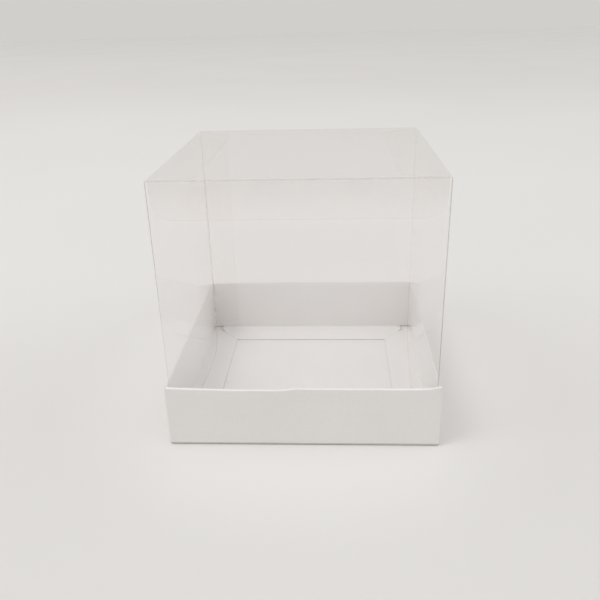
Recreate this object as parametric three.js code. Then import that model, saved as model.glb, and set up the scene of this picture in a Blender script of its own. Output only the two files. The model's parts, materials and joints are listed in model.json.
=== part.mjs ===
// A clear presentation box: a five-sided lid of clear plastic film, open below, stands in a low
// tray of white card. Both are cut and creased from one flat blank each, so every piece here is
// one panel between two creases. The tray's walls are double: they roll over at the top and come
// down inside, where a flange turns in and lies on the floor. The panels are flat, apart from the
// lid's left and right walls, which the tight tray makes bow inwards.
//
// Millimetres, +Z up. The origin is the middle of the tray's underside. The front faces -Y.

import * as THREE from 'three';
import { ConvexGeometry } from 'three/addons/geometries/ConvexGeometry.js';

// Lid, outside sizes
const lidWidth = 100;
const lidDepth = 100;
const lidHeight = 101; // from the free lower edges to the top's outer skin
const film = 0.3; // thickness of the clear plastic
const filmBend = 0.2; // outside radius of its creases

// Tray
const trayHeight = 25;
const card = 0.4; // thickness of the white card
const cardBend = 0.25; // outside radius of its folds
const sideFlangeReach = 13.3; // from a left or right lining to the flange's free edge
const endFlangeReach = 15.5; // the same at the front and back
const cornerRelief = 4.5; // how far a flange's end is cut square before its mitre begins
const mitreGap = 0.4; // between two flanges along their mitre
const tabReach = 20; // from a corner to the free end of a corner tab
const tabTaper = 8; // degrees, on a tab's upper and lower edge

// Bow of the lid's left and right walls. It is deepest at the free lower edge and gone at the top.
// foot and head are its depth at the bottom and what it would be at the top if it didn't fade, and
// footPlace and headPlace say where along the wall it is deepest, from the middle towards the back.
const leftBow = { foot: 4.6, head: 2.8, footPlace: 15, headPlace: -33 };
const rightBow = { foot: 4.6, head: 5.2, footPlace: -16, headPlace: -22 };
const bowSteepness = 1.55; // 1 is a straight run up to the deepest place, 2 a round one
const bowFade = 4; // the higher, the nearer to the top the bow reaches
const bowColumns = 14;
const bowRows = 8;

// Fit of lid in tray, and of layers on each other
const sidePlay = 0.2; // between lid and lining, left and right
const endPlay = 0.6; // between lid and lining, front and back
const layerGap = 0.05; // air between two layers that lie on each other
const creaseSlit = 0.03; // each panel stops this far short of its crease line

// Lid closure
const tuckReach = 14; // from the top's front crease to the tuck flap's free edge
const tuckLean = 5; // degrees that the tuck flap leans inwards from upright
const tuckBend = 50; // degrees that it can be bent further inwards
const tuckInset = 0.7; // the tuck flap is this much narrower than the space between the side walls
const tuckCorner = 7; // radius of its two free corners
const tuckGap = 0.25; // between the front wall and the top's front crease
const topInset = 0.25; // the top is this much narrower than the lid at each side
const flapGap = 0.1; // between the top and the dust flaps under it

// Dust flaps, which rise as the top opens
const dustReach = 16;
const dustFrontShoulder = 3; // from the lid's front to a dust flap's front end
const dustBackShoulder = 1.5; // from the lid's back to its back end
const dustRise = 0.45; // degrees that a dust flap turns for each degree of the top
const dustBackEase = 1.08; // its back end tapers this much more than the rise alone asks for
const dustFrontTaper = 8; // degrees
const dustCorner = 6; // radius of its two free corners

// Glue flap, inside the back wall at the left corner
const glueReach = 12;
const glueTaper = 12; // degrees
const glueShoulder = 1.5; // from the ends of the seam to the flap's ends

// Worked out from the sizes above
const sideLayers = 2 * card + layerGap; // a left or right wall: outer wall and lining
const endLayers = 3 * card + 2 * layerGap; // a front or back wall has the corner tabs between
const trayWidth = lidWidth + 2 * (sidePlay + sideLayers);
const trayDepth = lidDepth + 2 * (endPlay + endLayers);
const flangeLevel = card + layerGap; // underside of the flanges
const lidBase = flangeLevel + card + layerGap;
const dustLevel = lidHeight - film - flapGap; // crease of the dust flaps above the lid's lower edge
const topDepth = lidDepth - film - tuckGap;
const lapGap = film + layerGap; // from the back wall's outer skin to the glue flap's

const cardLook = new THREE.MeshStandardMaterial({ color: 0xeeece8, roughness: 0.6, metalness: 0 });
const filmLook = new THREE.MeshStandardMaterial({
  color: 0xe9edee,
  roughness: 0.08,
  metalness: 0,
  transparent: true,
  opacity: 0.28,
});
const whiteCard = { thick: card, bend: cardBend, look: cardLook };
const clearFilm = { thick: film, bend: filmBend, look: filmLook };

const degrees = (angle) => THREE.MathUtils.degToRad(angle);
const slope = (angle) => Math.tan(degrees(angle));
const corner = (x, y) => new THREE.Vector2(x, y);
const rectangle = (x0, y0, x1, y1) => [corner(x0, y0), corner(x1, y0), corner(x1, y1), corner(x0, y1)];

// A convex outline with everything beyond one straight limit taken off. sign is 1 to keep what
// lies above the limit and -1 to keep what lies below it.
function trim(corners, axis, limit, sign) {
  const kept = [];
  corners.forEach((from, i) => {
    const to = corners[(i + 1) % corners.length];
    const before = sign * (from[axis] - limit);
    const after = sign * (to[axis] - limit);
    if (before >= 0) kept.push(from);
    if (before * after < 0) kept.push(from.clone().lerp(to, before / (before - after)));
  });
  return kept;
}

// A convex outline in which the corners named by index are rounded
function rounded(corners, indexes, radius) {
  const arcSteps = 6;
  return corners.flatMap((point, i) => {
    if (!indexes.includes(i)) return [point];
    const before = corners[(i + corners.length - 1) % corners.length].clone().sub(point).normalize();
    const after = corners[(i + 1) % corners.length].clone().sub(point).normalize();
    const half = Math.acos(before.dot(after)) / 2;
    const start = point.clone().addScaledVector(before, radius / Math.tan(half));
    const end = point.clone().addScaledVector(after, radius / Math.tan(half));
    return new THREE.QuadraticBezierCurve(start, point, end).getPoints(arcSteps);
  });
}

// How far a folded end draws back at a depth below its convex skin. The bend's outside is round,
// and its two halves meet on a plane that slopes by run for each unit of depth.
function drawBack(depth, bend, run) {
  const fromCentre = Math.max(bend - depth, 0);
  return Math.max(bend - Math.sqrt(bend ** 2 - fromCentre ** 2), run * depth);
}

// The depths below the outer skin at which a panel's ends are worked out
function layerDepths({ thick, bend }) {
  const nearSkin = [0, 0.1 * bend, 0.3 * bend];
  return [...nearSkin, ...nearSkin.map((depth) => thick - depth).reverse()];
}

// Where a folded end lies at a depth. run is the slope of the crease: 1 for half of a right-angled
// fold that is convex on the outer skin, -1 for one that is convex on the inner skin, and more
// than 1 for a crease that closes further.
function endPlace({ sign, limit, run }, depth, { thick, bend }) {
  const fromConvexSkin = run > 0 ? depth : thick - depth;
  return limit + sign * (creaseSlit + drawBack(fromConvexSkin, bend, Math.abs(run)));
}

// One flat panel: its outer skin lies at z = 0 and its thickness below. folds gives the slope of
// each end that is a crease.
function panelGeometry(outline, sheet, folds) {
  const xs = outline.map((point) => point.x);
  const ys = outline.map((point) => point.y);
  const ends = [
    { axis: 'x', sign: 1, limit: Math.min(...xs), run: folds.left },
    { axis: 'x', sign: -1, limit: Math.max(...xs), run: folds.right },
    { axis: 'y', sign: 1, limit: Math.min(...ys), run: folds.bottom },
    { axis: 'y', sign: -1, limit: Math.max(...ys), run: folds.top },
  ].filter((end) => end.run);
  const points = layerDepths(sheet).flatMap((depth) => {
    let layer = outline;
    for (const end of ends) {
      layer = trim(layer, end.axis, endPlace(end, depth, sheet), end.sign);
    }
    return layer.map((point) => new THREE.Vector3(point.x, point.y, -depth));
  });
  return new ConvexGeometry(points);
}

// The same for a wall that is creased at its left, right and top and cut below, whose skins both
// lie back by bow(x, y)
function bowedGeometry(left, right, top, sheet, bow) {
  const depths = layerDepths(sheet);
  const layers = depths.length - 1;
  const geometry = new THREE.BoxGeometry(1, 1, 1, bowColumns, bowRows, layers);
  const position = geometry.attributes.position;
  for (let i = 0; i < position.count; i++) {
    const column = Math.round((position.getX(i) + 0.5) * bowColumns) / bowColumns;
    const row = Math.round((position.getY(i) + 0.5) * bowRows) / bowRows;
    const depth = depths[Math.round((0.5 - position.getZ(i)) * layers)];
    const from = endPlace({ sign: 1, limit: left, run: 1 }, depth, sheet);
    const to = endPlace({ sign: -1, limit: right, run: 1 }, depth, sheet);
    const high = endPlace({ sign: -1, limit: top, run: 1 }, depth, sheet);
    const back = bow(THREE.MathUtils.lerp(left, right, column), top * row);
    position.setXYZ(i, THREE.MathUtils.lerp(from, to, column), high * row, -depth - back);
  }
  geometry.computeVertexNormals();
  return geometry;
}

function addMesh(frame, name, geometry, sheet) {
  const mesh = new THREE.Mesh(geometry, sheet.look.clone());
  mesh.name = name;
  frame.add(mesh);
  return mesh;
}

function addPanel(frame, name, outline, sheet, folds) {
  return addMesh(frame, name, panelGeometry(outline, sheet, folds), sheet);
}

// A frame that stands on one side of a rectangle: x along the side, y up and z outwards.
// Sides count from the front to the right, back and left.
function standUp(parent, side, outwards, base) {
  const heading = new THREE.Group();
  heading.rotation.z = side * degrees(90);
  parent.add(heading);
  const frame = new THREE.Group();
  frame.position.set(0, -outwards, base);
  frame.rotation.x = degrees(90);
  heading.add(frame);
  return frame;
}

// The frame of the next panel past a crease that runs along x, at height y, folded inwards
function foldOver(frame, y, z, angle) {
  const next = new THREE.Group();
  next.position.set(0, y, z);
  next.rotation.x = -degrees(angle);
  frame.add(next);
  return next;
}

// The same past an upright crease at one end of a panel: end is -1 for its left and 1 for its right
function foldAside(frame, x, end) {
  const next = new THREE.Group();
  next.position.set(x, 0, 0);
  next.rotation.y = end * degrees(90);
  frame.add(next);
  return next;
}

const box = new THREE.Group();
const SIDES = ['front', 'right', 'back', 'left'];

// Tray floor, with its outer skin underneath
function addFloor() {
  const frame = new THREE.Group();
  frame.rotation.x = degrees(180);
  box.add(frame);
  const outline = rectangle(-trayWidth / 2, -trayDepth / 2, trayWidth / 2, trayDepth / 2);
  addPanel(frame, 'tray_floor', outline, whiteCard, { left: 1, right: 1, bottom: 1, top: 1 });
}

// A corner tab turns in from a side wall and lies between the two layers of the end wall
function addTab(wall, name, halfLength, end) {
  const frame = foldAside(wall, end * halfLength, end);
  const low = card + layerGap;
  const high = trayHeight - card - layerGap;
  const drop = tabReach * slope(tabTaper);
  const outline = [corner(0, low), corner(tabReach, low + drop), corner(tabReach, high - drop), corner(0, high)];
  const placed = outline.map((point) => corner(end * point.x, point.y));
  const ordered = end > 0 ? placed : placed.reverse();
  addPanel(frame, name, ordered, whiteCard, end > 0 ? { left: 1 } : { right: 1 });
}

// A flange lies on the floor. Near the corners its ends are square, and then they are mitred
// towards the corner of the opening that the four flanges leave.
function flangeOutline(halfLining, halfOpening, reach) {
  const run = (halfLining - halfOpening) / reach;
  const halfCrease = halfLining - run * cornerRelief - mitreGap / 2;
  const halfEdge = halfOpening - mitreGap / 2;
  const bend = card + cornerRelief;
  const far = card + reach;
  return [
    corner(-halfCrease, 0),
    corner(halfCrease, 0),
    corner(halfCrease, bend),
    corner(halfEdge, far),
    corner(-halfEdge, far),
    corner(-halfCrease, bend),
  ];
}

function addTraySide(side) {
  const isEnd = side % 2 === 0;
  const name = SIDES[side];
  const layers = isEnd ? endLayers : sideLayers;
  const outwards = (isEnd ? trayDepth : trayWidth) / 2;
  const innerWidth = trayWidth / 2 - sideLayers;
  const innerDepth = trayDepth / 2 - endLayers;

  // End walls cover the whole width, and the side walls stand between them
  const halfWall = isEnd ? trayWidth / 2 : trayDepth / 2 - card - layerGap;
  const wall = standUp(box, side, outwards, 0);
  const wallFolds = isEnd ? { bottom: 1, top: 1 } : { left: 1, right: 1, bottom: 1, top: 1 };
  const wallOutline = rectangle(-halfWall, 0, halfWall, trayHeight);
  addPanel(wall, `tray_${name}_wall`, wallOutline, whiteCard, wallFolds);
  if (!isEnd) {
    const [leftTab, rightTab] = side === 1 ? ['front', 'back'] : ['back', 'front'];
    addTab(wall, `tray_${name}_${leftTab}_tab`, halfWall, -1);
    addTab(wall, `tray_${name}_${rightTab}_tab`, halfWall, 1);
  }

  // The end linings reach from side wall to side wall, and the side linings stand between them
  const halfLining = isEnd ? trayWidth / 2 - card - layerGap : innerDepth - layerGap;
  const rim = foldOver(wall, trayHeight, 0, 90);
  const rimOutline = rectangle(-halfLining, 0, halfLining, layers);
  addPanel(rim, `tray_${name}_rim`, rimOutline, whiteCard, { bottom: 1, top: 1 });

  const liningDrop = trayHeight - flangeLevel;
  const lining = foldOver(rim, layers, 0, 90);
  const liningOutline = rectangle(-halfLining, 0, halfLining, liningDrop);
  addPanel(lining, `tray_${name}_lining`, liningOutline, whiteCard, { bottom: 1, top: -1 });

  // The flange's crease is convex underneath, so its frame is turned over
  const flange = foldOver(lining, liningDrop, -card, -90);
  const reach = isEnd ? endFlangeReach : sideFlangeReach;
  const along = isEnd ? innerWidth : innerDepth;
  const opening = isEnd ? innerWidth - sideFlangeReach : innerDepth - endFlangeReach;
  const outline = flangeOutline(along, opening, reach);
  const mesh = addPanel(flange, `tray_${name}_flange`, outline, whiteCard, { bottom: -1 });
  mesh.position.z = card;
}

// The lid's front wall is creased to the left and right walls, and cut at the top and bottom
function addLidFront() {
  const frame = standUp(box, 0, lidDepth / 2, lidBase);
  const outline = rectangle(-lidWidth / 2, 0, lidWidth / 2, lidHeight);
  addPanel(frame, 'lid_front', outline, clearFilm, { left: 1, right: 1 });
}

// A dust flap turns in from a side wall's top crease. Its back end is tapered so that it stays
// under the top while both rise.
function addDustFlap(wall, name, frontEnd, backEnd, frontSign) {
  const frame = foldOver(wall, dustLevel, 0, 90);
  const backRun = dustReach * dustRise * dustBackEase;
  const frontRun = dustReach * slope(dustFrontTaper);
  const outline = [
    corner(frontSign * backEnd, 0),
    corner(frontSign * frontEnd, 0),
    corner(frontSign * (frontEnd - frontRun), dustReach),
    corner(frontSign * (backEnd + backRun), dustReach),
  ];
  const ordered = frontSign > 0 ? outline : outline.reverse();
  const freeCorners = frontSign > 0 ? [2, 3] : [0, 1];
  addPanel(frame, name, rounded(ordered, freeCorners, dustCorner), clearFilm, { bottom: 1 });
}

// The glue flap turns in from the left wall and is stuck to the inside of the back wall
function addGlueFlap(wall, x) {
  const frame = foldAside(wall, x, -1);
  const drop = glueReach * slope(glueTaper);
  const low = glueShoulder;
  const high = dustLevel - glueShoulder;
  const outline = [
    corner(-glueReach, low + drop),
    corner(0, low),
    corner(0, high),
    corner(-glueReach, high - drop),
  ];
  addPanel(frame, 'lid_glue_flap', outline, clearFilm, { right: 1 });
}

// How far a side wall lies back at a place. It rises from each upright crease to its deepest
// place, which shifts with height, and fades out towards the top.
function bowDepth({ foot, head, footPlace, headPlace }, towardsBack, height, frontEnd, backEnd) {
  const up = height / dustLevel;
  const deepest = THREE.MathUtils.lerp(foot, head, up);
  const peak = THREE.MathUtils.lerp(footPlace, headPlace, up);
  const fromFront = (towardsBack - frontEnd) / (peak - frontEnd);
  const fromBack = (backEnd - towardsBack) / (backEnd - peak);
  const rise = Math.max(0, Math.min(fromFront, fromBack));
  return deepest * (1 - (1 - rise) ** bowSteepness) * (1 - up ** bowFade);
}

function addLidSides() {
  const half = lidDepth / 2;
  const frontEnd = half - dustFrontShoulder;
  const backEnd = -(half - dustBackShoulder);

  const right = standUp(box, 1, lidWidth / 2, lidBase);
  const rightDepth = (x, y) => bowDepth(rightBow, x, y, -half, half);
  addMesh(right, 'lid_right', bowedGeometry(-half, half, dustLevel, clearFilm, rightDepth), clearFilm);
  addDustFlap(right, 'lid_right_dust_flap', frontEnd, backEnd, -1);

  const left = standUp(box, 3, lidWidth / 2, lidBase);
  const seam = half - lapGap;
  const leftDepth = (x, y) => bowDepth(leftBow, -x, y, -half, seam);
  addMesh(left, 'lid_left', bowedGeometry(-seam, half, dustLevel, clearFilm, leftDepth), clearFilm);
  addDustFlap(left, 'lid_left_dust_flap', frontEnd, backEnd, 1);
  addGlueFlap(left, -seam);
}

// The tuck flap hangs from the top's front crease, behind the front wall
function addTuckFlap(top, run) {
  const frame = foldOver(top, topDepth, 0, 90 + tuckLean);
  const half = lidWidth / 2 - film - tuckInset;
  const outline = rectangle(-half, 0, half, tuckReach);
  addPanel(frame, 'lid_tuck_flap', rounded(outline, [2, 3], tuckCorner), clearFilm, { bottom: run });
}

// The back wall carries the top, and the top the tuck flap. Where the tuck flap bends, both
// sheets are scored to a slope that lets it close to its full bend.
function addLidBackAndTop() {
  const back = standUp(box, 2, lidDepth / 2, lidBase);
  const backOutline = rectangle(-lidWidth / 2, 0, lidWidth / 2, lidHeight);
  addPanel(back, 'lid_back', backOutline, clearFilm, { left: 1, top: 1 });

  const closed = 90 - tuckLean - tuckBend;
  const scored = 1 / slope(closed / 2);
  const top = foldOver(back, lidHeight, 0, 90);
  const halfTop = lidWidth / 2 - topInset;
  const topOutline = rectangle(-halfTop, 0, halfTop, topDepth);
  addPanel(top, 'lid_top', topOutline, clearFilm, { bottom: 1, top: scored });
  addTuckFlap(top, scored);
}

addFloor();
SIDES.forEach((_, side) => addTraySide(side));
addLidFront();
addLidSides();
addLidBackAndTop();

export default box;
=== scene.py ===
# %% [markdown]
# A clear presentation box
#
# The real object is two folded blanks. A lid of thin clear film, open below, stands in a low tray
# of white card whose walls roll over at the top and come down again inside. Everything that the
# eye sees comes from that: one thickness of sheet, round folds, square cut edges, and long panels
# that are never quite flat. So every panel here is made in the way that the real one is, from one
# flat face that is trimmed, rolled over at its creases, and only then given its thickness.

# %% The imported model
import json
import math
import bmesh
import bpy
from mathutils import Matrix, Vector

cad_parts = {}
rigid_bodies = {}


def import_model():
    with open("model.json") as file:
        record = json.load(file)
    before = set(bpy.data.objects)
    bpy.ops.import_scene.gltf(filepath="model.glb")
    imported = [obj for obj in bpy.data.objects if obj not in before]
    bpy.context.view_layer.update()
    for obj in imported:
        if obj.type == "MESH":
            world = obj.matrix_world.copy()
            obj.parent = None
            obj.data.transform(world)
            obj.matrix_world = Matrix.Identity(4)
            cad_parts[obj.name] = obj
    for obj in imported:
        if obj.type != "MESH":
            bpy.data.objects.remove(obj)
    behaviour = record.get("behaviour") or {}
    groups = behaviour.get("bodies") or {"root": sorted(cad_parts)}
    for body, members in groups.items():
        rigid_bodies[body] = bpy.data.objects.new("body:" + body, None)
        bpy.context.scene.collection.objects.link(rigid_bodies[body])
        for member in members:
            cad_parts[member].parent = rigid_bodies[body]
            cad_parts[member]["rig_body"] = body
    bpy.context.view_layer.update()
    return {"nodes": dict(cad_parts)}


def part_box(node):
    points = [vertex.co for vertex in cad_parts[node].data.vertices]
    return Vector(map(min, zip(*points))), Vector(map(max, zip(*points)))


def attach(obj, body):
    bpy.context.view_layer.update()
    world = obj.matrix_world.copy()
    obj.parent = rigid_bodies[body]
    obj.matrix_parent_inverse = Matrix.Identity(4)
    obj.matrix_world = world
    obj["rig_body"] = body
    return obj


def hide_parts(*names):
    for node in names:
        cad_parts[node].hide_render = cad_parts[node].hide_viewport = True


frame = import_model()

# %% [markdown]
# ## Sizes
#
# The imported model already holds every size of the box, so they are read off its nodes and not
# typed a second time. A sheet is easier to think about in millimetres, so the panels are worked in
# millimetres and become metres when they are finished. Two small ones are typed: the air between
# two layers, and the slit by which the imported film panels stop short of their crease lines.

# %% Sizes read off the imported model
MM = 0.001


def corners_of(node):
    low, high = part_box(node)
    return low / MM, high / MM


def outer(node, axis):
    return corners_of(node)[1][axis]


def inner(node, axis):
    return corners_of(node)[0][axis]


TRAY_X = outer("tray_front_wall", 0)
TRAY_Y = -inner("tray_front_wall", 1)
TRAY_HEIGHT = outer("tray_front_rim", 2)
CARD = outer("tray_front_wall", 1) - inner("tray_front_wall", 1)
SIDE_LAYERS = TRAY_X - inner("tray_right_lining", 0)
END_LAYERS = TRAY_Y + outer("tray_front_lining", 1)
FLANGE_TOP = outer("tray_front_flange", 2)
LID = outer("lid_front", 0)
LID_BASE = inner("lid_front", 2)
LID_TOP = outer("lid_front", 2)
FILM = outer("lid_front", 1) - inner("lid_front", 1)
DUST_LEVEL = outer("lid_left_dust_flap", 2)
SHEET_GAP = 0.05
CREASE_SLIT = 0.09
print(f"tray {2 * TRAY_X:.1f} x {2 * TRAY_Y:.1f} x {TRAY_HEIGHT:.1f} mm of {CARD:.2f} mm card")
print(f"lid {2 * LID:.1f} mm wide, {LID_TOP - LID_BASE:.1f} mm high, of {FILM:.2f} mm film")

# %% [markdown]
# ## Camera
#
# A look from in front and slightly to the right of the middle, downwards by about a quarter of a
# right angle. The place and the three turns were worked out from the box's own corners, so that
# the model lands on the same pixels. The picture is square.

# %% Camera
IMAGE_SIZE = 600
FOCAL_PIXELS = 652.5
CAMERA_PLACE = Vector((11.84, -257.21, 150.34)) * MM
LOOK_DOWN = math.radians(23.613)
CAMERA_ROLL = math.radians(-1.529)
CAMERA_TURN = math.radians(-3.248)
SENSOR_WIDTH = 36
CLIP_START = 0.01


def make_camera():
    data = bpy.data.cameras.new("camera")
    data.sensor_width = SENSOR_WIDTH
    data.lens = FOCAL_PIXELS * SENSOR_WIDTH / IMAGE_SIZE
    data.clip_start = CLIP_START
    camera = bpy.data.objects.new("camera", data)
    bpy.context.scene.collection.objects.link(camera)
    tilt = Matrix.Rotation(math.pi / 2 - LOOK_DOWN, 4, "X")
    roll = Matrix.Rotation(CAMERA_ROLL, 4, "Z")
    turn = Matrix.Rotation(-CAMERA_TURN, 4, "Z")
    camera.matrix_world = Matrix.Translation(CAMERA_PLACE) @ turn @ tilt @ roll
    bpy.context.scene.camera = camera
    return camera


camera = make_camera()
print(f"camera lens {camera.data.lens:.1f} mm")

# %% [markdown]
# ## Writing materials
#
# Each finish is a small network of nodes. A few helpers keep the cells short. The main one adds a
# node and sets its values, and another turns a colour as it is seen on a screen, 0 to 255, into
# the linear values that Blender works with. A noise mostly stays between 0.35 and 0.65, so ramp
# spreads that span unless it is told another one. Every pattern starts from Object coordinates,
# so that it stays on its piece when the piece moves.

# %% Helpers for materials
NOISE_LOW, NOISE_HIGH = 0.35, 0.65
COLOUR_A, COLOUR_B, COLOUR_OUT = 6, 7, 2


def seen(red, green, blue):
    def linear(level):
        share = level / 255
        return share / 12.92 if share <= 0.04045 else ((share + 0.055) / 1.055) ** 2.4

    return (linear(red), linear(green), linear(blue), 1.0)


def new_material(name):
    material = bpy.data.materials.new(name)
    material.use_nodes = True
    material.node_tree.nodes.clear()
    return material, material.node_tree


def add_node(tree, kind, inputs=None, **settings):
    node = tree.nodes.new("ShaderNode" + kind)
    for key, value in settings.items():
        setattr(node, key, value)
    for key, value in (inputs or {}).items():
        if isinstance(value, bpy.types.NodeSocket):
            tree.links.new(value, node.inputs[key])
        else:
            node.inputs[key].default_value = value
    return node


def object_place(tree):
    return add_node(tree, "TexCoord").outputs["Object"]


def along_axis(tree, axis):
    return add_node(tree, "SeparateXYZ", {"Vector": object_place(tree)}).outputs[axis]


def noise(tree, scale, detail=2.0, stretch=(1, 1, 1)):
    mapping = add_node(tree, "Mapping", {"Vector": object_place(tree), "Scale": stretch})
    made = add_node(tree, "TexNoise", {"Vector": mapping.outputs[0], "Scale": scale, "Detail": detail})
    return made.outputs["Fac"]


def ramp(tree, value, low, high, low_at=NOISE_LOW, high_at=NOISE_HIGH):
    made = add_node(tree, "MapRange", {
        "Value": value, "From Min": low_at, "From Max": high_at, "To Min": low, "To Max": high})
    return made.outputs[0]


def calculate(tree, operation, first, second=0.0, third=0.0):
    return add_node(tree, "Math", {0: first, 1: second, 2: third}, operation=operation).outputs[0]


def soft_step(tree, value, start, stop, low, high):
    made = add_node(tree, "MapRange", {
        "Value": value, "From Min": start, "From Max": stop, "To Min": low, "To Max": high},
        interpolation_type="SMOOTHSTEP")
    return made.outputs[0]


def mix_shaders(tree, share, first, second):
    return add_node(tree, "MixShader", {0: share, 1: first.outputs[0], 2: second.outputs[0]})


def blend_colours(tree, share, first, second):
    mix = add_node(tree, "Mix", data_type="RGBA")
    tree.links.new(share, mix.inputs[0])
    mix.inputs[COLOUR_A].default_value = first
    mix.inputs[COLOUR_B].default_value = second
    return mix.outputs[COLOUR_OUT]


def finish_material(material, tree, shader):
    add_node(tree, "OutputMaterial", {"Surface": shader.outputs[0]})
    return material


print("a table seen as 227 is written as", round(seen(227, 227, 227)[0], 3))

# %% [markdown]
# ## White card
#
# The tray is thin coated board: white with a breath of warmth, satin rather than glossy, with a
# fine fibre that is only seen close up and a slow cloudiness where the coating is uneven. It could
# be one flat colour, but then the large plain walls would look like plastic. Two noises give the
# cloud and the fibre, and the fibre gives the tiny bumps too. The inside of the tray is painted
# lighter than the outside, as painted light that makes up for the light that the film keeps out.

# %% White card
OUTER_CARD = seen(229, 226, 223), seen(225, 222, 219)
# The inside's tones are the same card painted lighter: painted light for the inside of the tray.
INNER_CARD_PAINTED_LIGHTER = seen(242, 241, 240), seen(238, 237, 236)
CLOUD_SCALE = 28
FIBRE_SCALE, FIBRE_STRETCH = 1400, (1, 0.35, 1)
FIBRE_DEPTH = 0.00002
TONE_SPAN = 0.75, 1.25
ROUGHNESS_SPREAD = 0.05
CARD_SHEEN = 0.35


def make_white_card(name, tones, roughness, grain):
    material, tree = new_material(name)
    cloud = noise(tree, CLOUD_SCALE, 3)
    fibre = noise(tree, FIBRE_SCALE, 3, FIBRE_STRETCH)
    share = calculate(tree, "ADD", cloud, fibre)
    colour = blend_colours(tree, ramp(tree, share, 0, 1, *TONE_SPAN), tones[1], tones[0])
    bump = add_node(tree, "Bump", {"Height": fibre, "Strength": grain, "Distance": FIBRE_DEPTH})
    rough = ramp(tree, cloud, roughness - ROUGHNESS_SPREAD, roughness + ROUGHNESS_SPREAD)
    shader = add_node(tree, "BsdfPrincipled", {
        "Base Color": colour, "Roughness": rough, "Normal": bump.outputs[0],
        "Specular IOR Level": CARD_SHEEN})
    return finish_material(material, tree, shader)


white_card = make_white_card("white card", OUTER_CARD, 0.55, 0.15)
# The inside's card is the outside card painted lighter, as painted light.
inner_card_painted_lighter = make_white_card("inner white card", INNER_CARD_PAINTED_LIGHTER, 0.55, 0.15)
print("card finishes:", white_card.name, "and", inner_card_painted_lighter.name)

# %% [markdown]
# ## Card edges and folds
#
# A cut through board shows its fibre core, which is greyer and rougher than the coated face. Along
# a fold the coating stretches and cracks a little, which reads as a slightly brighter, drier line.
# The front rim is a painted highlight, much brighter, where the rim catches the lamp. The fold at
# the foot of the walls is painted shade for the contact shadow on the table. All are the card's
# own recipe with other values, so they are made by the same function. A piece gets its finishes in
# one order: face, cut edge, fold and, at the foot, the painted-shade fold.

# %% Card edges and folds
CUT_CARD = seen(222, 219, 214), seen(206, 202, 196)
FOLDED_CARD = seen(236, 234, 231), seen(229, 227, 224)
# The front rim's tones are a painted highlight, where the rim catches the lamp.
FRONT_RIM_PAINTED_HIGHLIGHT = seen(248, 247, 245), seen(243, 242, 240)
# The foot fold's tones are painted shade, for the contact shadow on the table.
FOOT_FOLD_PAINTED_SHADE = seen(198, 195, 191), seen(190, 187, 183)
card_cut = make_white_card("card cut edge", CUT_CARD, 0.8, 0.6)
card_fold = make_white_card("card fold", FOLDED_CARD, 0.62, 0.3)
# Painted highlight for the front rim.
front_rim_painted_highlight = make_white_card("front card fold", FRONT_RIM_PAINTED_HIGHLIGHT, 0.62, 0.3)
# Painted shade along the foot of the walls.
foot_fold_painted_shade = make_white_card("card foot fold", FOOT_FOLD_PAINTED_SHADE, 0.7, 0.3)
OUTER_FINISHES = (white_card, card_cut, card_fold, foot_fold_painted_shade)
INNER_FINISHES = (inner_card_painted_lighter, card_cut, inner_card_painted_lighter, foot_fold_painted_shade)
# The front rim's finishes carry the painted highlight.
FRONT_RIM_FINISHES = (front_rim_painted_highlight, card_cut, front_rim_painted_highlight)
PLAIN_RIM_FINISHES = (white_card, card_cut, white_card)
FOOT_PAINTED_SHADE = 3
FOLDS = (card_cut, card_fold, front_rim_painted_highlight, foot_fold_painted_shade)
print("folds and edges:", ", ".join(finish.name for finish in FOLDS))

# %% [markdown]
# ## Clear film
#
# The lid is a sheet so thin that light crosses it without being bent to any amount that shows. A
# glass shader would bend every ray twice and come out dark and noisy, so the film is a mix: a
# faintly tinted see-through part, and a mirror whose share grows towards a glancing look. That
# growth is the fifth power of the facing value, which is how real plastic behaves. The two faces
# of a sheet lie so close together that their mirrors can't be told apart, so the outer face
# carries the mirror for both, and the inner one is only clear. A haze of fine rubs, far fainter
# than the mirror, keeps the large panes from looking like nothing at all.

# %% Clear film
FILM_TINT = (0.996, 0.993, 0.991, 1)
FILM_MIRROR, MIRROR_POWER = 0.04, 5.0
SMOOTHEST, ROUGHEST = 0.02, 0.05
FLOW_SCALE, FLOW_STRETCH = 45, (1, 1, 0.4)
FILM_HAZE = 0.006
HAZE_GREY = seen(225, 225, 226)
HAZE_ROUGHNESS = 0.5
RUB_SCALE, RUB_STRETCH, RUB_SPAN = 260, (1, 1, 0.3), (0.4, 0.8)


def mirror_share(tree, least):
    facing = add_node(tree, "LayerWeight", {"Blend": 0.5}).outputs["Facing"]
    steep = calculate(tree, "POWER", facing, MIRROR_POWER)
    return calculate(tree, "MULTIPLY_ADD", steep, 1 - least, least)


def make_film_face(name, mirror):
    material, tree = new_material(name)
    clear = add_node(tree, "BsdfTransparent", {"Color": FILM_TINT})
    film = clear
    if mirror:
        rough = ramp(tree, noise(tree, FLOW_SCALE, 3, FLOW_STRETCH), SMOOTHEST, ROUGHEST)
        shine = add_node(tree, "BsdfGlossy", {"Color": (1, 1, 1, 1), "Roughness": rough})
        film = mix_shaders(tree, mirror_share(tree, mirror), clear, shine)
    rubs = noise(tree, RUB_SCALE, 4, RUB_STRETCH)
    haze = add_node(tree, "BsdfPrincipled", {"Base Color": HAZE_GREY, "Roughness": HAZE_ROUGHNESS})
    amount = ramp(tree, rubs, 0.0, FILM_HAZE, *RUB_SPAN)
    return finish_material(material, tree, mix_shaders(tree, amount, film, haze))


clear_film = make_film_face("clear film", FILM_MIRROR)
inner_film = make_film_face("clear film inner face", 0)
print("film faces:", clear_film.name, "and", inner_film.name)

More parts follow.
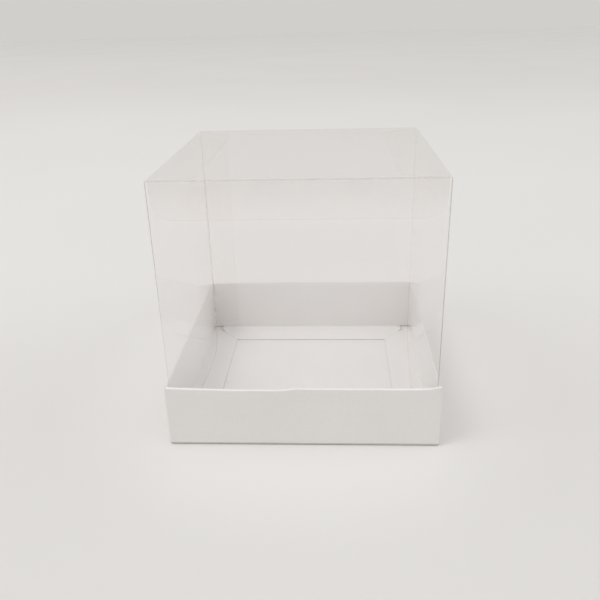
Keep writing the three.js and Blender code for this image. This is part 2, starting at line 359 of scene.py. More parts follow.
# %% [markdown]
# ## Film creases and edges
#
# Where film is creased it turns milky, because the bend crushes it, and a cut edge gathers the
# light that runs inside the sheet. Both hide a part of what lies behind them. The grey of a crease
# is partly that milk and partly painted shade for the dark line that a bent roll shows, since the
# see-through shader does not bend light. How much they show depends on how hard the crease was
# pressed: the front ones read as thin grey lines, the glued seam and the closing crease are softer,
# and the rest can hardly be seen. Of the two upright front ones the right one is painted darker
# towards the foot, a painted reflection of the shaded lining, and the left one fades out there. So
# one function makes them all: clear film, mixed with a share of solid grey that changes from the top
# to the foot, and that a noise breaks up, so that the lines are not ruled ones. The names at the end
# number the finishes in the order in which a piece gets them, after the clear face, which is number 0.

# %% Film creases and edges
FADE_LOW, FADE_HIGH = 0.035, 0.085
LINE_SCALE, LINE_SPREAD = 160, 0.15
CRUSHED_ROUGHNESS = 0.18
MILK_ROUGHNESS = 0.45
# Crease grey: partly crushed milk, partly painted shade for the dark line of a bent roll.
CRUSHED_AND_SHADED_GREY = seen(178, 176, 173)


def make_film_line(name, tint, grey, hidden, mirror, at_foot=1.0):
    material, tree = new_material(name)
    clear = add_node(tree, "BsdfTransparent", {"Color": tint})
    shine = add_node(tree, "BsdfGlossy", {"Color": (1, 1, 1, 1), "Roughness": CRUSHED_ROUGHNESS})
    film = mix_shaders(tree, mirror_share(tree, mirror), clear, shine) if mirror else clear
    broken = noise(tree, LINE_SCALE, 3)
    milk = add_node(tree, "BsdfPrincipled", {"Base Color": grey, "Roughness": MILK_ROUGHNESS})
    even = ramp(tree, broken, hidden * (1 - LINE_SPREAD), hidden * (1 + LINE_SPREAD))
    fade = soft_step(tree, along_axis(tree, "Z"), FADE_LOW, FADE_HIGH, at_foot, 1.0)
    amount = calculate(tree, "MULTIPLY", even, fade)
    return finish_material(material, tree, mix_shaders(tree, amount, film, milk))


film_cut = make_film_line("film cut edge", seen(254, 253, 253), seen(228, 227, 225), 0.12, 0)
# The right front crease's extra grey at the foot is a painted reflection of the shaded lining.
crease_painted_dark_at_foot = make_film_line(
    "film crease dark at the foot", seen(244, 243, 242), CRUSHED_AND_SHADED_GREY, 0.55, 0.05, at_foot=1.5)
fading_crease = make_film_line(
    "film crease clear at the foot", seen(250, 249, 248), CRUSHED_AND_SHADED_GREY, 0.6, 0.05, at_foot=0.1)
seam_crease = make_film_line("film seam crease", seen(252, 251, 250), seen(216, 214, 211), 0.3, 0.04)
faint_crease = make_film_line("film faint crease", seen(254, 253, 252), seen(224, 222, 219), 0.06, 0.04)
closing_crease = make_film_line(
    "film closing crease", seen(251, 250, 249), seen(198, 196, 194), 0.32, 0)
FILM_FINISHES = (
    clear_film, film_cut, crease_painted_dark_at_foot, inner_film, seam_crease, faint_crease, fading_crease,
    closing_crease)
CUT_EDGE, CREASE, INNER_SKIN, SEAM_CREASE, FAINT_CREASE, FADING_CREASE, CLOSING_CREASE = range(1, 8)
print("film finishes:", ", ".join(finish.name for finish in FILM_FINISHES))

# %% [markdown]
# ## Film near the closing crease
#
# The tuck flap carries a painted shade: a grey that is strongest along the closing crease and gone
# by its free edge, standing in for the shade just under the top of the lid. It could be a second
# sheet, but it is only the film's haze with more of it towards the top, which Object coordinates give.

# %% Film near the closing crease
# Painted shade on the tuck flap, darkest at the closing crease.
SHADE_GREY = seen(186, 183, 180)
SHADE_SHARE = 0.11
SHADE_TOP, SHADE_END = 0.1019, 0.0890
SHADE_SCALE, SHADE_SPREAD = 90, 0.2


# The tuck flap's film with its painted shade.
def make_tuck_film_painted_shade():
    material, tree = new_material("film near the closing crease")
    clear = add_node(tree, "BsdfTransparent", {"Color": FILM_TINT})
    haze = add_node(tree, "BsdfPrincipled", {"Base Color": SHADE_GREY, "Roughness": HAZE_ROUGHNESS})
    share = soft_step(tree, along_axis(tree, "Z"), SHADE_END, SHADE_TOP, 0.0, SHADE_SHARE)
    broken = ramp(tree, noise(tree, SHADE_SCALE, 3), 1 - SHADE_SPREAD, 1 + SHADE_SPREAD)
    amount = calculate(tree, "MULTIPLY", share, broken)
    return finish_material(material, tree, mix_shaders(tree, amount, clear, haze))


tuck_film_painted_shade = make_tuck_film_painted_shade()
TUCK_FINISHES = (tuck_film_painted_shade, *FILM_FINISHES[1:])
print("tuck flap painted shade:", SHADE_SHARE)

# %% [markdown]
# ## Making a sheet: trimming it flat
#
# A panel starts as one flat face whose visible skin looks up. It could be drawn corner by corner,
# but trimming is nearer to the die that cuts the real blank: bisect_plane takes off what lies
# beyond a straight line, and a bevel of a corner point rounds it. The same tool without trimming
# only scores lines, which give the panel points to bow with later. One line runs close along each
# edge, so that the shading of the flat part doesn't change towards it.

# %% Flat sheets
ON_LINE = 1e-4
SAME_POINT = 1e-5
EDGE_BAND = 0.25
CORNER_STEPS = 8


def flat_sheet(low, high):
    sheet = bmesh.new()
    bmesh.ops.create_grid(sheet, x_segments=1, y_segments=1, size=0.5)
    middle = ((low[0] + high[0]) / 2, (low[1] + high[1]) / 2, 0)
    bmesh.ops.scale(sheet, vec=(high[0] - low[0], high[1] - low[1], 1), verts=sheet.verts)
    bmesh.ops.translate(sheet, vec=middle, verts=sheet.verts)
    return sheet


def cut(sheet, point, outward, trim=True):
    parts = sheet.verts[:] + sheet.edges[:] + sheet.faces[:]
    bmesh.ops.bisect_plane(
        sheet, geom=parts, dist=SAME_POINT, plane_co=(*point, 0), plane_no=(*outward, 0),
        clear_outer=trim)


def round_corner(sheet, point, radius):
    corner = min(sheet.verts, key=lambda vert: (vert.co.xy - Vector(point)).length)
    bmesh.ops.bevel(
        sheet, geom=[corner], offset=radius, offset_type="OFFSET", affect="VERTICES",
        segments=CORNER_STEPS, profile=0.5, material=-1, clamp_overlap=False)


def score_lines(sheet, spacing):
    for axis in (0, 1):
        places = [vert.co[axis] for vert in sheet.verts]
        first, last = min(places), max(places)
        count = max(1, round((last - first) / spacing))
        inside = [first + (last - first) * i / count for i in range(1, count)]
        outward = (1, 0) if axis == 0 else (0, 1)
        for place in [first + EDGE_BAND, *inside, last - EDGE_BAND]:
            cut(sheet, (place * outward[0], place * outward[1]), outward, trim=False)


# %% [markdown]
# ## Making a sheet: rolling the creases
#
# A crease in card or film is not a sharp corner but a tight roll. Spin takes the sheet's edge and
# carries it round an axis that lies one radius under the skin, which is the roll itself. Each
# panel carries half of the roll, and its neighbour carries the other half, so that both meet
# half-way round and a panel that opens takes its own half with it.

# %% Rolled creases
CARD_ROLL = 0.42
FILM_ROLL = 0.4
ROLL_STEPS = 4
UP = Vector((0, 0, 1))


class Crease:
    """One folded end of a panel: which way it lies, how far, and how it turns."""

    def __init__(self, outward, place, angle=90, roll=CARD_ROLL, span=None, **more):
        self.outward = Vector((*outward, 0))
        self.turn = math.radians(angle) * more.get("share", 0.5)
        self.roll = roll
        self.span = span
        self.hollow = more.get("hollow", False)
        self.finish = more.get("finish", CREASE)
        self.start = place - roll * math.tan(math.radians(angle) / 2)


def trim_to_crease(sheet, crease):
    point = crease.outward * crease.start
    cut(sheet, point.xy, crease.outward.xy)


def on_crease(edge, crease):
    for vert in edge.verts:
        if abs(vert.co.dot(crease.outward) - crease.start) > ON_LINE or abs(vert.co.z) > ON_LINE:
            return False
    middle = sum((vert.co for vert in edge.verts), Vector()) / 2
    place = middle.x if abs(crease.outward.y) > 0.5 else middle.y
    return crease.span is None or crease.span[0] < place < crease.span[1]


def roll_crease(sheet, crease):
    edges = [edge for edge in sheet.edges if on_crease(edge, crease)]
    verts = list(dict.fromkeys(vert for edge in edges for vert in edge.verts))
    side = 1 if crease.hollow else -1
    axis = UP.cross(crease.outward) * -side
    centre = crease.outward * crease.start + UP * crease.roll * side
    before = set(sheet.faces)
    made = bmesh.ops.spin(
        sheet, geom=verts + edges, cent=centre, axis=axis, dvec=(0, 0, 0), angle=crease.turn,
        steps=ROLL_STEPS, use_merge=False, use_duplicate=False)
    for face in set(sheet.faces) - before:
        face.material_index = crease.finish
    fold_end = sheet.edges.layers.int["fold_end"]
    for part in made["geom_last"]:
        if isinstance(part, bmesh.types.BMEdge):
            part[fold_end] = 1


# %% [markdown]
# ## Making a sheet: thickness and cut edges
#
# Only a finished shape gets its thickness, so that the skin follows the size exactly and the sheet
# grows inwards from it. The strip of faces that solidify adds round the rim is the cut through the
# sheet. A knife or die leaves that cut with two slightly crushed corners, which a very small bevel
# gives, and they are what catches the light on a real edge. The roll's own steps are too short
# for a bevel, so it is left out there. Film has a finish of its own on the inner side.

# %% Thickness
SHORT_EDGE = 0.15
CRUSHED_SHARE = 0.14
CRUSHED_STEPS = 2


def thicken(sheet, thickness, crushed, inner_skin):
    skin = set(sheet.verts)
    fold_end = sheet.edges.layers.int["fold_end"]
    bmesh.ops.recalc_face_normals(sheet, faces=sheet.faces)
    if sum(face.normal.z for face in sheet.faces) < 0:
        bmesh.ops.reverse_faces(sheet, faces=sheet.faces)
    bmesh.ops.solidify(sheet, geom=sheet.faces[:], thickness=thickness)
    rim = {face for face in sheet.faces if len({vert in skin for vert in face.verts}) == 2}
    for face in sheet.faces:
        if inner_skin is not None and not any(vert in skin for vert in face.verts):
            face.material_index = inner_skin
    fold_finish = CREASE if inner_skin is None else inner_skin
    for face in rim:
        face.material_index = fold_finish if any(edge[fold_end] for edge in face.edges) else CUT_EDGE
    corners = [
        edge for edge in sheet.edges
        if len(edge.link_faces) == 2
        and edge.calc_length() > SHORT_EDGE
        and sum(face in rim for face in edge.link_faces) == 1
        and any(face in rim and face.material_index == CUT_EDGE for face in edge.link_faces)]
    bmesh.ops.bevel(
        sheet, geom=corners, offset=crushed, offset_type="OFFSET", affect="EDGES",
        segments=CRUSHED_STEPS, profile=0.5, material=-1, clamp_overlap=False)


def make_sheet(low, high, creases, thickness, spacing, slants=(), rounds=()):
    sheet = flat_sheet(low, high)
    sheet.edges.layers.int.new("fold_end")
    for point, outward in slants:
        cut(sheet, point, outward)
    for point, radius in rounds:
        round_corner(sheet, point, radius)
    for crease in creases:
        trim_to_crease(sheet, crease)
    score_lines(sheet, spacing)
    for crease in creases:
        roll_crease(sheet, crease)
    thicken(sheet, thickness, thickness * CRUSHED_SHARE, None if thickness == CARD else INNER_SKIN)
    return sheet


# %% [markdown]
# ## Standing the panels up
#
# A panel is made lying flat, with x along its first crease. To stand it up, its own frame is
# carried to where it belongs: turned to one of the four sides, moved out, and tipped upright. The
# next panel's frame comes from the last one's by a step to the crease and a turn, as when the
# real blank is folded. The finished mesh holds its place, and its object stays at the origin.

# %% Frames and finished pieces
SHARP_ANGLE = math.radians(32)


def stand_up(side, outwards, base):
    turned = Matrix.Rotation(math.radians(90) * side, 4, "Z")
    moved = Matrix.Translation((0, -outwards, base))
    return turned @ moved @ Matrix.Rotation(math.radians(90), 4, "X")


def fold_over(place, y, angle):
    return place @ Matrix.Translation((0, y, 0)) @ Matrix.Rotation(-math.radians(angle), 4, "X")


def finish_piece(sheet, node, place, finishes, bend=None):
    bmesh.ops.transform(sheet, matrix=place, verts=sheet.verts)
    for vert in sheet.verts:
        vert.co = bend(vert.co) if bend else vert.co
    bmesh.ops.scale(sheet, vec=(MM, MM, MM), verts=sheet.verts)
    mesh = bpy.data.meshes.new(node + "_sheet")
    sheet.to_mesh(mesh)
    sheet.free()
    for finish in finishes:
        mesh.materials.append(finish)
    mesh.shade_smooth()
    mesh.set_sharp_from_angle(angle=SHARP_ANGLE)
    piece = bpy.data.objects.new(node + "_sheet", mesh)
    bpy.context.scene.collection.objects.link(piece)
    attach(piece, frame["nodes"][node]["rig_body"])
    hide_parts(node)
    return piece


# %% [markdown]
# ## Hand-folded card
#
# A folded tray is never quite true. All its rims wave a little, the front one dips to both sides
# of a small kink where the roll was pressed, and its right corner stands up in a small tip. These
# are functions of place, not of a panel, so two panels that share a fold move together there. The
# lower half of the tray stays true. Heights and widths are in millimetres, and a wave's turn is in
# radians for each millimetre.

# %% How the card waves
SLOW_WAVE, SLOW_TURN = 0.10, 0.11
QUICK_WAVE, QUICK_TURN = 0.05, 0.29
SIDE_PHASE = 1.3
WAVE_START, WAVE_RUN = 12, 13
LEFT_DIP, RIGHT_DIP = 0.72, 0.27
KINK_PLACE, KINK_WIDTH = -2.0, 3.5
TIP_START, TIP_RISE = 47.0, 0.9


def smooth_step(value):
    value = min(max(value, 0), 1)
    return value * value * (3 - 2 * value)


def rim_wave(along, side):
    phase = SIDE_PHASE * side
    slow = SLOW_WAVE * math.sin(along * SLOW_TURN + phase)
    return slow + QUICK_WAVE * math.sin(along * QUICK_TURN + 2 * phase) - SLOW_WAVE


def wave_card(point):
    high = smooth_step((point.z - WAVE_START) / WAVE_RUN)
    at_end = abs(point.y) / TRAY_Y > abs(point.x) / TRAY_X
    along = point.x if at_end else point.y
    half = TRAY_X if at_end else TRAY_Y
    side = (0 if point.y < 0 else 2) if at_end else (1 if point.x > 0 else 3)
    fade = 1 - (abs(along) / half) ** 4
    rise = rim_wave(along, side) * fade
    if side == 0:
        kink = math.exp(-((along - KINK_PLACE) / KINK_WIDTH) ** 2)
        rise -= (LEFT_DIP if along < KINK_PLACE else RIGHT_DIP) * fade * (1 - kink)
        rise += TIP_RISE * smooth_step((along - TIP_START) / (TRAY_X - TIP_START))
    moved = point.copy()
    moved.z += rise * high
    return moved


# %% [markdown]
# ## Tray floor and outer walls
#
# The floor is the middle of the blank, and each wall turns up from it. The front and back walls
# cover the whole width, and the side walls stand between them and fold round into tabs that hide
# behind the ends. The rolled rim is narrower than the front wall, so the two top corners of that
# wall stay as small cut steps.

# %% Tray floor
FOOT_ROLL = 1.1
FLOOR_STEP = 8


# The foot crease gets the painted-shade finish that stands in for the contact shadow.
def foot_crease(outward, place):
    return Crease(outward, place, roll=FOOT_ROLL, finish=FOOT_PAINTED_SHADE)


def make_floor():
    creases = [
        foot_crease((1, 0), TRAY_X), foot_crease((-1, 0), TRAY_X),
        foot_crease((0, 1), TRAY_Y), foot_crease((0, -1), TRAY_Y)]
    sheet = make_sheet((-TRAY_X, -TRAY_Y), (TRAY_X, TRAY_Y), creases, CARD, FLOOR_STEP)
    upside_down = Matrix.Rotation(math.pi, 4, "X")
    return finish_piece(sheet, "tray_floor", upside_down, INNER_FINISHES)


tray_floor = make_floor()
print("tray floor:", len(tray_floor.data.polygons), "faces")

# %% Tray walls
SIDES = ("front", "right", "back", "left")
WALL_STEP = 4
TAB_SHARE = 0.9


class TraySide:
    """One side of the tray: how far out it stands, its layers and how wide its panels are."""

    def __init__(self, side):
        self.side = side
        self.name = SIDES[side]
        self.is_end = side % 2 == 0
        self.outwards = TRAY_Y if self.is_end else TRAY_X
        self.layers = END_LAYERS if self.is_end else SIDE_LAYERS
        self.half_wall = TRAY_X if self.is_end else TRAY_Y - CARD - SHEET_GAP
        lining, axis = ("tray_front_lining", 0) if self.is_end else ("tray_right_lining", 1)
        self.half_lining = outer(lining, axis)

    def wall_frame(self):
        return stand_up(self.side, self.outwards, 0)

    def rim_frame(self):
        return fold_over(self.wall_frame(), TRAY_HEIGHT, 90)

    def lining_frame(self):
        return fold_over(self.rim_frame(), self.layers, 90)

    def flange_frame(self):
        return fold_over(self.lining_frame(), TRAY_HEIGHT - FLANGE_TOP, -90)


def make_tray_wall(tray):
    half = tray.half_wall
    creases = [
        foot_crease((0, -1), 0),
        Crease((0, 1), TRAY_HEIGHT, span=(-tray.half_lining, tray.half_lining))]
    if not tray.is_end:
        creases += [Crease((1, 0), half, share=TAB_SHARE), Crease((-1, 0), half, share=TAB_SHARE)]
    sheet = make_sheet((-half, 0), (half, TRAY_HEIGHT), creases, CARD, WALL_STEP)
    node = f"tray_{tray.name}_wall"
    return finish_piece(sheet, node, tray.wall_frame(), OUTER_FINISHES, wave_card)


TRAY_SIDES = [TraySide(side) for side in range(4)]
tray_walls = [make_tray_wall(tray) for tray in TRAY_SIDES]
print("tray walls:", [len(wall.data.polygons) for wall in tray_walls], "faces")

# %% [markdown]
# ## Rims, linings and flanges
#
# Past the wall the same sheet turns twice within a millimetre, which makes the rounded rim, and
# hangs down inside as the lining. At its foot it turns inwards the other way, and the flange lies
# on the floor. That last fold is hollow on the visible side, so its roll is far tighter than the
# others. The flanges' ends are cut square near the corner and then mitred, so that four of them
# frame a rectangle of bare floor. Where the back flange's mitre begins, its corner was never pressed
# down, and the small gap under it shows dark. The left one stands up more than the right one.

# %% Rims, linings and flanges
HOLLOW_ROLL = 0.1
MITRE_GAP = 0.04
CORNER_RELIEF = 4.67
CORNER_LIFTS = (-1, 0.9), (1, 0.5)
LIFT_REACH = 3.6
FLANGE_STEP = 1.5


def make_rim(tray):
    half = tray.half_lining
    creases = [Crease((0, -1), 0), Crease((0, 1), tray.layers)]
    sheet = make_sheet((-half, 0), (half, tray.layers), creases, CARD, WALL_STEP)
    finishes = FRONT_RIM_FINISHES if tray.name == "front" else PLAIN_RIM_FINISHES
    node = f"tray_{tray.name}_rim"
    return finish_piece(sheet, node, tray.rim_frame(), finishes, wave_card)


def make_lining(tray):
    half = tray.half_lining
    drop = TRAY_HEIGHT - FLANGE_TOP
    creases = [Crease((0, -1), 0), Crease((0, 1), drop, roll=HOLLOW_ROLL, hollow=True)]
    sheet = make_sheet((-half, 0), (half, drop), creases, CARD, WALL_STEP)
    node = f"tray_{tray.name}_lining"
    return finish_piece(sheet, node, tray.lining_frame(), INNER_FINISHES, wave_card)


def lift_corners(point):
    across = outer("tray_back_flange", 0)
    deep = TRAY_Y - END_LAYERS - CORNER_RELIEF
    moved = point.copy()
    for sign, lift in CORNER_LIFTS:
        away = math.hypot(point.x - sign * across, point.y - deep)
        moved.z += lift * smooth_step(1 - away / LIFT_REACH)
    return moved


def make_flange(tray):
    node = f"tray_{tray.name}_flange"
    edges = inner("tray_right_flange", 0), inner("tray_back_flange", 1)
    free_edge, own_edge = edges if tray.is_end else edges[::-1]
    half_crease = outer(node, 0 if tray.is_end else 1)
    half_edge = free_edge - MITRE_GAP
    reach = tray.outwards - tray.layers - own_edge
    slope = Vector((reach - CORNER_RELIEF, half_crease - half_edge)).normalized()
    slants = [
        ((half_crease, CORNER_RELIEF), slope),
        ((-half_crease, CORNER_RELIEF), Vector((-slope.x, slope.y)))]
    creases = [Crease((0, -1), 0, roll=HOLLOW_ROLL, hollow=True)]
    sheet = make_sheet((-half_crease, 0), (half_crease, reach), creases, CARD, FLANGE_STEP, slants)
    lift = lift_corners if tray.name == "back" else None
    return finish_piece(sheet, node, tray.flange_frame(), INNER_FINISHES, lift)


for make in (make_rim, make_lining, make_flange):
    made = [make(tray) for tray in TRAY_SIDES]
    print(made[0].name, "and three more:", [len(piece.data.polygons) for piece in made], "faces")

# %% [markdown]
# ## Corner tabs
#
# The tabs lie hidden between the two layers of the front and back walls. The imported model's own
# plain solids are right for them, so they stay as they are and only get the card's finish.

# %% Corner tabs
TABS = [f"tray_{side}_{end}_tab" for side in ("left", "right") for end in ("front", "back")]
for tab in TABS:
    for slot in frame["nodes"][tab].material_slots:
        slot.material = white_card
print("tabs kept:", len(TABS))

# %% [markdown]
# ## How the film bows
#
# The lid is a little too tight for its tray at the foot, so both side panes are pushed inwards
# there in one long shallow bow, and stay true at their creases and at the top. That bow is what
# gives the reflections in the panes their slant. It runs in towards the middle only, so the lid
# still stands inside its sizes. The front and back panes have no more than a faint wave.

# %% How the film bows
LAP = FILM + SHEET_GAP
BOW_STEEPNESS = 1.55
BOW_FADE = 4
PANE_WAVE = 0.12
PANE_TURNS = 0.07, 0.05


class Bow:
    """A pane's bow: its depth at the foot and towards the head, and where along it is deepest."""

    def __init__(self, foot, head, foot_place, head_place, back_end):
        self.foot, self.head = foot, head
        self.foot_place, self.head_place = foot_place, head_place
        self.back_end = back_end

    def depth(self, point):
        up = min(max((point.z - LID_BASE) / (DUST_LEVEL - LID_BASE), 0), 1)
        deepest = self.foot + (self.head - self.foot) * up
        peak = self.foot_place + (self.head_place - self.foot_place) * up
        from_front = (point.y + LID) / (peak + LID)
        from_back = (self.back_end - point.y) / (self.back_end - peak)
        rise = max(0, min(from_front, from_back))
        return deepest * (1 - (1 - rise) ** BOW_STEEPNESS) * (1 - up ** BOW_FADE)


LEFT_BOW = Bow(4.6, 2.8, 15, -33, LID - LAP)
RIGHT_BOW = Bow(4.6, 5.2, -16, -22, LID)


def bend_left_pane(point):
    moved = point.copy()
    moved.x += LEFT_BOW.depth(point)
    return moved


def bend_right_pane(point):
    moved = point.copy()
    moved.x -= RIGHT_BOW.depth(point)
    return moved


def wave_pane(point):
    inside = (1 - (point.x / LID) ** 2) * math.sin(math.pi * min(max(point.z / LID_TOP, 0), 1))
    amount = PANE_WAVE * inside * math.sin(point.x * PANE_TURNS[0] + point.z * PANE_TURNS[1])
    moved = point.copy()
    moved.y += max(amount, 0) * (1 if point.y < 0 else -1)
    return moved


# %% [markdown]
# ## Lid walls
#
# The lid's four walls are one strip, creased at the corners and glued into a tube by a narrow flap
# at the back left corner. The back wall goes on into the top, and the side walls into two dust
# flaps. Film rolls as tightly as card does, and the panes are scored every few millimetres so that
# the bow stays smooth in the reflections.

# %% Lid walls
PANE_STEP = 4
BOWED_STEP = 2.5
SPAN_PLAY = 0.05


def film_crease_at(outward, place, angle=90, span=None, finish=CREASE):
    return Crease(outward, place, angle, FILM_ROLL, span, finish=finish)


def make_lid_front():
    height = LID_TOP - LID_BASE
    creases = [film_crease_at((1, 0), LID), film_crease_at((-1, 0), LID, finish=FADING_CREASE)]
    sheet = make_sheet((-LID, 0), (LID, height), creases, FILM, PANE_STEP)
    place = stand_up(0, LID, LID_BASE)
    return finish_piece(sheet, "lid_front", place, FILM_FINISHES, wave_pane)


def dust_span(sign):
    low, high = corners_of("lid_left_dust_flap")
    ends = sorted((sign * low.y, sign * high.y))
    return ends[0] - SPAN_PLAY, ends[1] + SPAN_PLAY


def make_lid_right():
    height = DUST_LEVEL - LID_BASE
    creases = [
        film_crease_at((1, 0), LID, finish=FAINT_CREASE), film_crease_at((-1, 0), LID),
        film_crease_at((0, 1), height, span=dust_span(1), finish=FAINT_CREASE)]
    sheet = make_sheet((-LID, 0), (LID, height), creases, FILM, BOWED_STEP)
    place = stand_up(1, LID, LID_BASE)
    return finish_piece(sheet, "lid_right", place, FILM_FINISHES, bend_right_pane)


def make_lid_left():
    height = DUST_LEVEL - LID_BASE
    back_end = LID - LAP
    creases = [
        film_crease_at((1, 0), LID, finish=FADING_CREASE),
        film_crease_at((-1, 0), back_end, finish=SEAM_CREASE),
        film_crease_at((0, 1), height, span=dust_span(-1), finish=FAINT_CREASE)]
    sheet = make_sheet((-back_end, 0), (LID, height), creases, FILM, BOWED_STEP)
    place = stand_up(3, LID, LID_BASE)
    return finish_piece(sheet, "lid_left", place, FILM_FINISHES, bend_left_pane)


def make_lid_back():
    height = LID_TOP - LID_BASE
    half_top = outer("lid_top", 0)
    creases = [
        film_crease_at((-1, 0), LID, finish=FAINT_CREASE),
        film_crease_at((0, 1), height, span=(-half_top, half_top), finish=FAINT_CREASE)]
    sheet = make_sheet((-LID, 0), (LID, height), creases, FILM, PANE_STEP)
    place = stand_up(2, LID, LID_BASE)
    return finish_piece(sheet, "lid_back", place, FILM_FINISHES, wave_pane)


lid_walls = [make_lid_front(), make_lid_right(), make_lid_back(), make_lid_left()]
print("lid walls:", [len(wall.data.polygons) for wall in lid_walls], "faces")

# %% [markdown]
# ## Flaps of the lid
#
# The glue flap turns in from the left wall with tapered ends and is stuck to the back wall. The
# two dust flaps turn in under the top, with rounded free corners. Each rises by 0.45 of the top's
# angle, so their back ends are cut at a slant that clears the top on the way. They are trimmed flat
# like everything else, before the roll. Closed, they lie so near the top that the two sheets shine
# as one, so the top alone has the mirror.

# %% Glue flap and dust flaps
DUST_FINISHES = (inner_film, *FILM_FINISHES[1:])
GLUE_SHOULDER = 1.5
GLUE_TAPER = math.radians(12)
DUST_CORNER = 6.0
DUST_RISE = 0.45
DUST_BACK_EASE = 1.08
DUST_FRONT_TAPER = math.radians(8)


def make_glue_flap():
    low, high = corners_of("lid_glue_flap")
    reach = high.x - low.x + CREASE_SLIT
    height = DUST_LEVEL - LID_BASE
    across, down = math.sin(GLUE_TAPER), math.cos(GLUE_TAPER)
    slants = [((0, GLUE_SHOULDER), (-across, -down)), ((0, height - GLUE_SHOULDER), (-across, down))]
    crease = film_crease_at((1, 0), 0, finish=SEAM_CREASE)
    sheet = make_sheet((-reach, 0), (0, height), [crease], FILM, PANE_STEP, slants)
    wall = stand_up(3, LID, LID_BASE)
    place = wall @ Matrix.Translation((-(LID - LAP), 0, 0)) @ Matrix.Rotation(-math.pi / 2, 4, "Y")
    return finish_piece(sheet, "lid_glue_flap", place, FILM_FINISHES)


def make_dust_flap(side):
    name = f"lid_{SIDES[side]}_dust_flap"
    low, high = corners_of(name)
    front_sign = -1 if side == 1 else 1
    front = -low.y
    back = high.y
    reach = high.x - low.x + CREASE_SLIT
    back_run = reach * DUST_RISE * DUST_BACK_EASE
    front_run = reach * math.tan(DUST_FRONT_TAPER)
    ends = sorted((front_sign * front, -front_sign * back))
    front_way = Vector((front_sign * reach, front_run)).normalized()
    back_way = Vector((-front_sign * reach, back_run)).normalized()
    slants = [((front_sign * front, 0), front_way), ((-front_sign * back, 0), back_way)]
    rounds = [
        ((front_sign * (front - front_run), reach), DUST_CORNER),
        ((-front_sign * (back - back_run), reach), DUST_CORNER)]
    crease = film_crease_at((0, -1), 0, finish=FAINT_CREASE)
    sheet = make_sheet((ends[0], 0), (ends[1], reach), [crease], FILM, PANE_STEP, slants, rounds)
    place = fold_over(stand_up(side, LID, LID_BASE), DUST_LEVEL - LID_BASE, 90)
    return finish_piece(sheet, name, place, DUST_FINISHES)


lid_flaps = [make_glue_flap(), make_dust_flap(1), make_dust_flap(3)]
print("flaps:", [len(flap.data.polygons) for flap in lid_flaps], "faces")

# %% [markdown]
# ## Top and tuck flap
#
# The top turns forward from the back wall, and its tuck flap hangs from its front crease, behind
# the front wall, where it leans in by a few degrees. Its lower corners are cut round so that it
# finds its way in.

# %% Top and tuck flap
TUCK_ANGLE = 95
TUCK_CORNER = 7.0
TUCK_REACH = 14.0
TUCK_GAP = 0.25
TOP_DEPTH = 2 * LID - FILM - TUCK_GAP


def make_top():
    half = outer("lid_top", 0)
    creases = [
        film_crease_at((0, -1), 0, finish=FAINT_CREASE),
        film_crease_at((0, 1), TOP_DEPTH, TUCK_ANGLE, finish=CLOSING_CREASE)]
    sheet = make_sheet((-half, 0), (half, TOP_DEPTH), creases, FILM, PANE_STEP)
    place = fold_over(stand_up(2, LID, LID_BASE), LID_TOP - LID_BASE, 90)
    return finish_piece(sheet, "lid_top", place, FILM_FINISHES)


def make_tuck_flap():
    half = outer("lid_tuck_flap", 0)
    rounds = [((half, TUCK_REACH), TUCK_CORNER), ((-half, TUCK_REACH), TUCK_CORNER)]
    crease = film_crease_at((0, -1), 0, TUCK_ANGLE, finish=CLOSING_CREASE)
    sheet = make_sheet((-half, 0), (half, TUCK_REACH), [crease], FILM, PANE_STEP, rounds=rounds)
    top = fold_over(stand_up(2, LID, LID_BASE), LID_TOP - LID_BASE, 90)
    place = fold_over(top, TOP_DEPTH, TUCK_ANGLE)
    return finish_piece(sheet, "lid_tuck_flap", place, TUCK_FINISHES)


lid_top = make_top()
lid_tuck = make_tuck_flap()
print("top and tuck flap:", len(lid_top.data.polygons), len(lid_tuck.data.polygons), "faces")

# %% [markdown]
# ## Table
#
# The box stands on a plain pale table. It is a wide disc, so that the box can be looked at from
# every side, and it only has to catch the shadow and fade out with distance. Its tone carries
# painted light: a painted pool of light round the box, painted shade that makes it a shade darker
# in front of the box than behind, and painted shade that darkens it again far away. Each of these
# is two places in metres, and the share of the light tone at each.

# %% Table
TABLE_RADIUS = 6.0
TABLE_CORNERS = 96
TABLE_BORDER = 0.6 * TABLE_RADIUS
TABLE_ROUGHNESS, TABLE_SHEEN = 0.9, 0.1
TABLE_DARK = seen(222, 219, 216)
TABLE_LIGHT = seen(242, 240, 238)
# Painted light on the table: darker in front, darker far away, and a pale pool round the box.
PAINTED_SHADE_IN_FRONT = -0.06, 0.14, 0.38, 0.70
PAINTED_SHADE_FAR_AWAY = 0.45, 1.5, 0.0, -0.38
PAINTED_LIGHT_POOL = 0.058, 0.115, 0.48, 0.0
TABLE_CLOUD = 0.05


# The table's tone: painted light and shade, plus a slow random cloud.
def table_tone_with_painted_light(tree):
    reach = add_node(tree, "VectorMath", {0: object_place(tree)}, operation="LENGTH").outputs["Value"]
    share = soft_step(tree, along_axis(tree, "Y"), *PAINTED_SHADE_IN_FRONT)
    for part in (soft_step(tree, reach, *PAINTED_SHADE_FAR_AWAY), soft_step(tree, reach, *PAINTED_LIGHT_POOL)):
        share = calculate(tree, "ADD", share, part)
    cloud = ramp(tree, noise(tree, 3, 2), -TABLE_CLOUD, TABLE_CLOUD)
    return calculate(tree, "ADD", share, cloud)


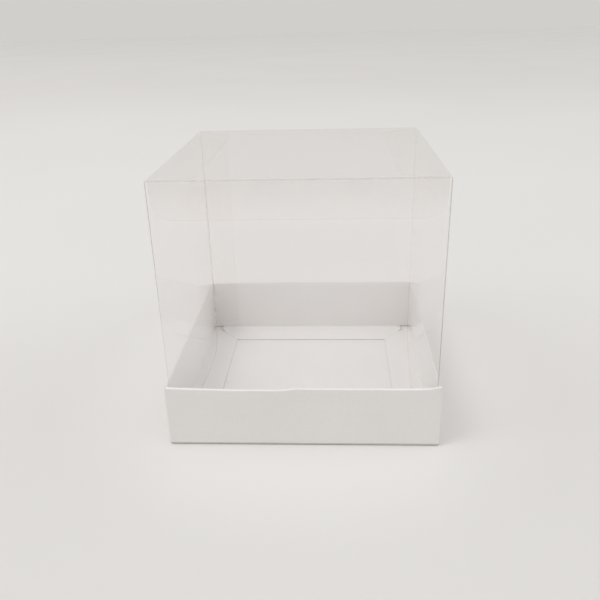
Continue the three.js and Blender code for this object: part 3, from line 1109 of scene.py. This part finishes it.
def make_table():
    sheet = bmesh.new()
    bmesh.ops.create_circle(sheet, cap_ends=True, radius=TABLE_RADIUS, segments=TABLE_CORNERS)
    bmesh.ops.inset_region(sheet, faces=sheet.faces[:], thickness=TABLE_BORDER)
    mesh = bpy.data.meshes.new("table")
    sheet.to_mesh(mesh)
    sheet.free()
    material, tree = new_material("table")
    tone = blend_colours(tree, table_tone_with_painted_light(tree), TABLE_DARK, TABLE_LIGHT)
    shader = add_node(tree, "BsdfPrincipled", {
        "Base Color": tone, "Roughness": TABLE_ROUGHNESS, "Specular IOR Level": TABLE_SHEEN})
    mesh.materials.append(finish_material(material, tree, shader))
    table = bpy.data.objects.new("table", mesh)
    bpy.context.scene.collection.objects.link(table)
    return table


table = make_table()
print("table radius:", TABLE_RADIUS, "m")

# %% [markdown]
# ## Light
#
# Most of the light is a soft glow, as between two big white screens: strong from both sides, less
# from above and in front, little from behind. The rest comes from one large soft lamp high on the
# left, a little in front, which gives the shadow. The glow is the world, and its strength follows
# the direction. What the camera, the film's mirror and the see-through rays find beyond the table
# is set apart from it by Light Path, so that the far background has one even shade of its own.

# %% Light
GLOW_SIDES = 1.0
GLOW_ABOVE = 0.5
GLOW_FRONT = 0.47
GLOW_BEHIND = 0.15
BACKDROP = seen(209, 207, 203)
LAMP_WAY = Vector((-15, -7, 25))
LAMP_DISTANCE = 4.0
LAMP_SIZE = 2.0
LAMP_POWER = 25.0
LAMP_TINT = (1.0, 0.985, 0.965)
SHEETS_SEEN_THROUGH = 32
DIFFUSE_BOUNCES = 8


def glow_strength(tree):
    sky = add_node(tree, "TexCoord").outputs["Generated"]
    way = add_node(tree, "SeparateXYZ", {"Vector": sky}).outputs
    sides = calculate(tree, "ABSOLUTE", way["X"])
    above = calculate(tree, "POWER", calculate(tree, "MAXIMUM", way["Z"], 0.0), 2.0)
    behind = calculate(tree, "MAXIMUM", way["Y"], 0.0)
    front = calculate(tree, "MAXIMUM", calculate(tree, "MULTIPLY", way["Y"], -1.0), 0.0)
    total = calculate(tree, "MULTIPLY", sides, GLOW_SIDES)
    for share, strength in ((above, GLOW_ABOVE), (front, GLOW_FRONT), (behind, GLOW_BEHIND)):
        total = calculate(tree, "MULTIPLY_ADD", share, strength, total)
    return total


def make_world():
    world = bpy.data.worlds.new("glow")
    world.use_nodes = True
    tree = world.node_tree
    tree.nodes.clear()
    path = add_node(tree, "LightPath").outputs
    looks = calculate(tree, "MAXIMUM", path["Is Camera Ray"], path["Is Glossy Ray"])
    looks = calculate(tree, "MAXIMUM", looks, path["Is Transmission Ray"])
    glow = add_node(tree, "Background", {"Color": (1, 1, 1, 1), "Strength": glow_strength(tree)})
    backdrop = add_node(tree, "Background", {"Color": BACKDROP, "Strength": 1.0})
    sky = mix_shaders(tree, looks, glow, backdrop)
    add_node(tree, "OutputWorld", {"Surface": sky.outputs[0]})
    bpy.context.scene.world = world


def make_lamp():
    data = bpy.data.lights.new("soft lamp", "AREA")
    data.shape = "DISK"
    data.size = LAMP_SIZE
    data.energy = LAMP_POWER
    data.color = LAMP_TINT
    lamp = bpy.data.objects.new("soft lamp", data)
    bpy.context.scene.collection.objects.link(lamp)
    way = LAMP_WAY.normalized()
    lamp.location = way * LAMP_DISTANCE
    lamp.rotation_mode = "QUATERNION"
    lamp.rotation_quaternion = way.to_track_quat("Z", "Y")
    return lamp


make_world()
make_lamp()
scene = bpy.context.scene
scene.view_settings.view_transform = "Standard"
scene.cycles.transparent_max_bounces = SHEETS_SEEN_THROUGH
scene.cycles.diffuse_bounces = DIFFUSE_BOUNCES
print("lamp:", LAMP_POWER, "W; glow from the sides:", GLOW_SIDES)
